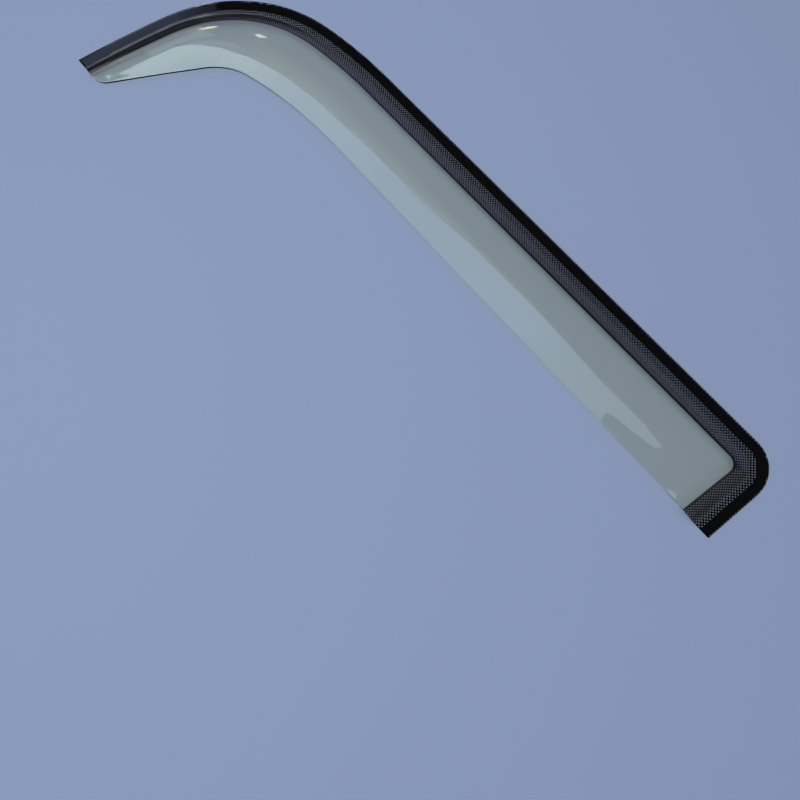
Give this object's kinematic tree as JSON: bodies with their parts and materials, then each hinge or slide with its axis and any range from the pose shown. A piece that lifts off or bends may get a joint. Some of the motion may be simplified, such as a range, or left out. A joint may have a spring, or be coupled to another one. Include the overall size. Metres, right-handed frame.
{
  "type": "window rain deflector",
  "caption": "Tinted clear side-window rain deflector: a flat bonding flange round pillar, top and rear leg, a sloping riser, and a crowned pane with a free lower edge.",
  "frame": {"origin": "centre of the part in plan, on the plane of the flange's bonding face", "axes": "+X runs rearwards along the straight top edge, +Y is up the door, +Z points away from the door"},
  "size_m": [0.9286, 0.26, 0.0175],
  "materials": {
    "tinted_acrylic": "clear grey-green tinted acrylic sheet, glossy on both faces, with a black printed band on the flange and riser"
  },
  "bodies": {
    "root": {"deflector": "tinted_acrylic"}
  },
  "joints": []
}
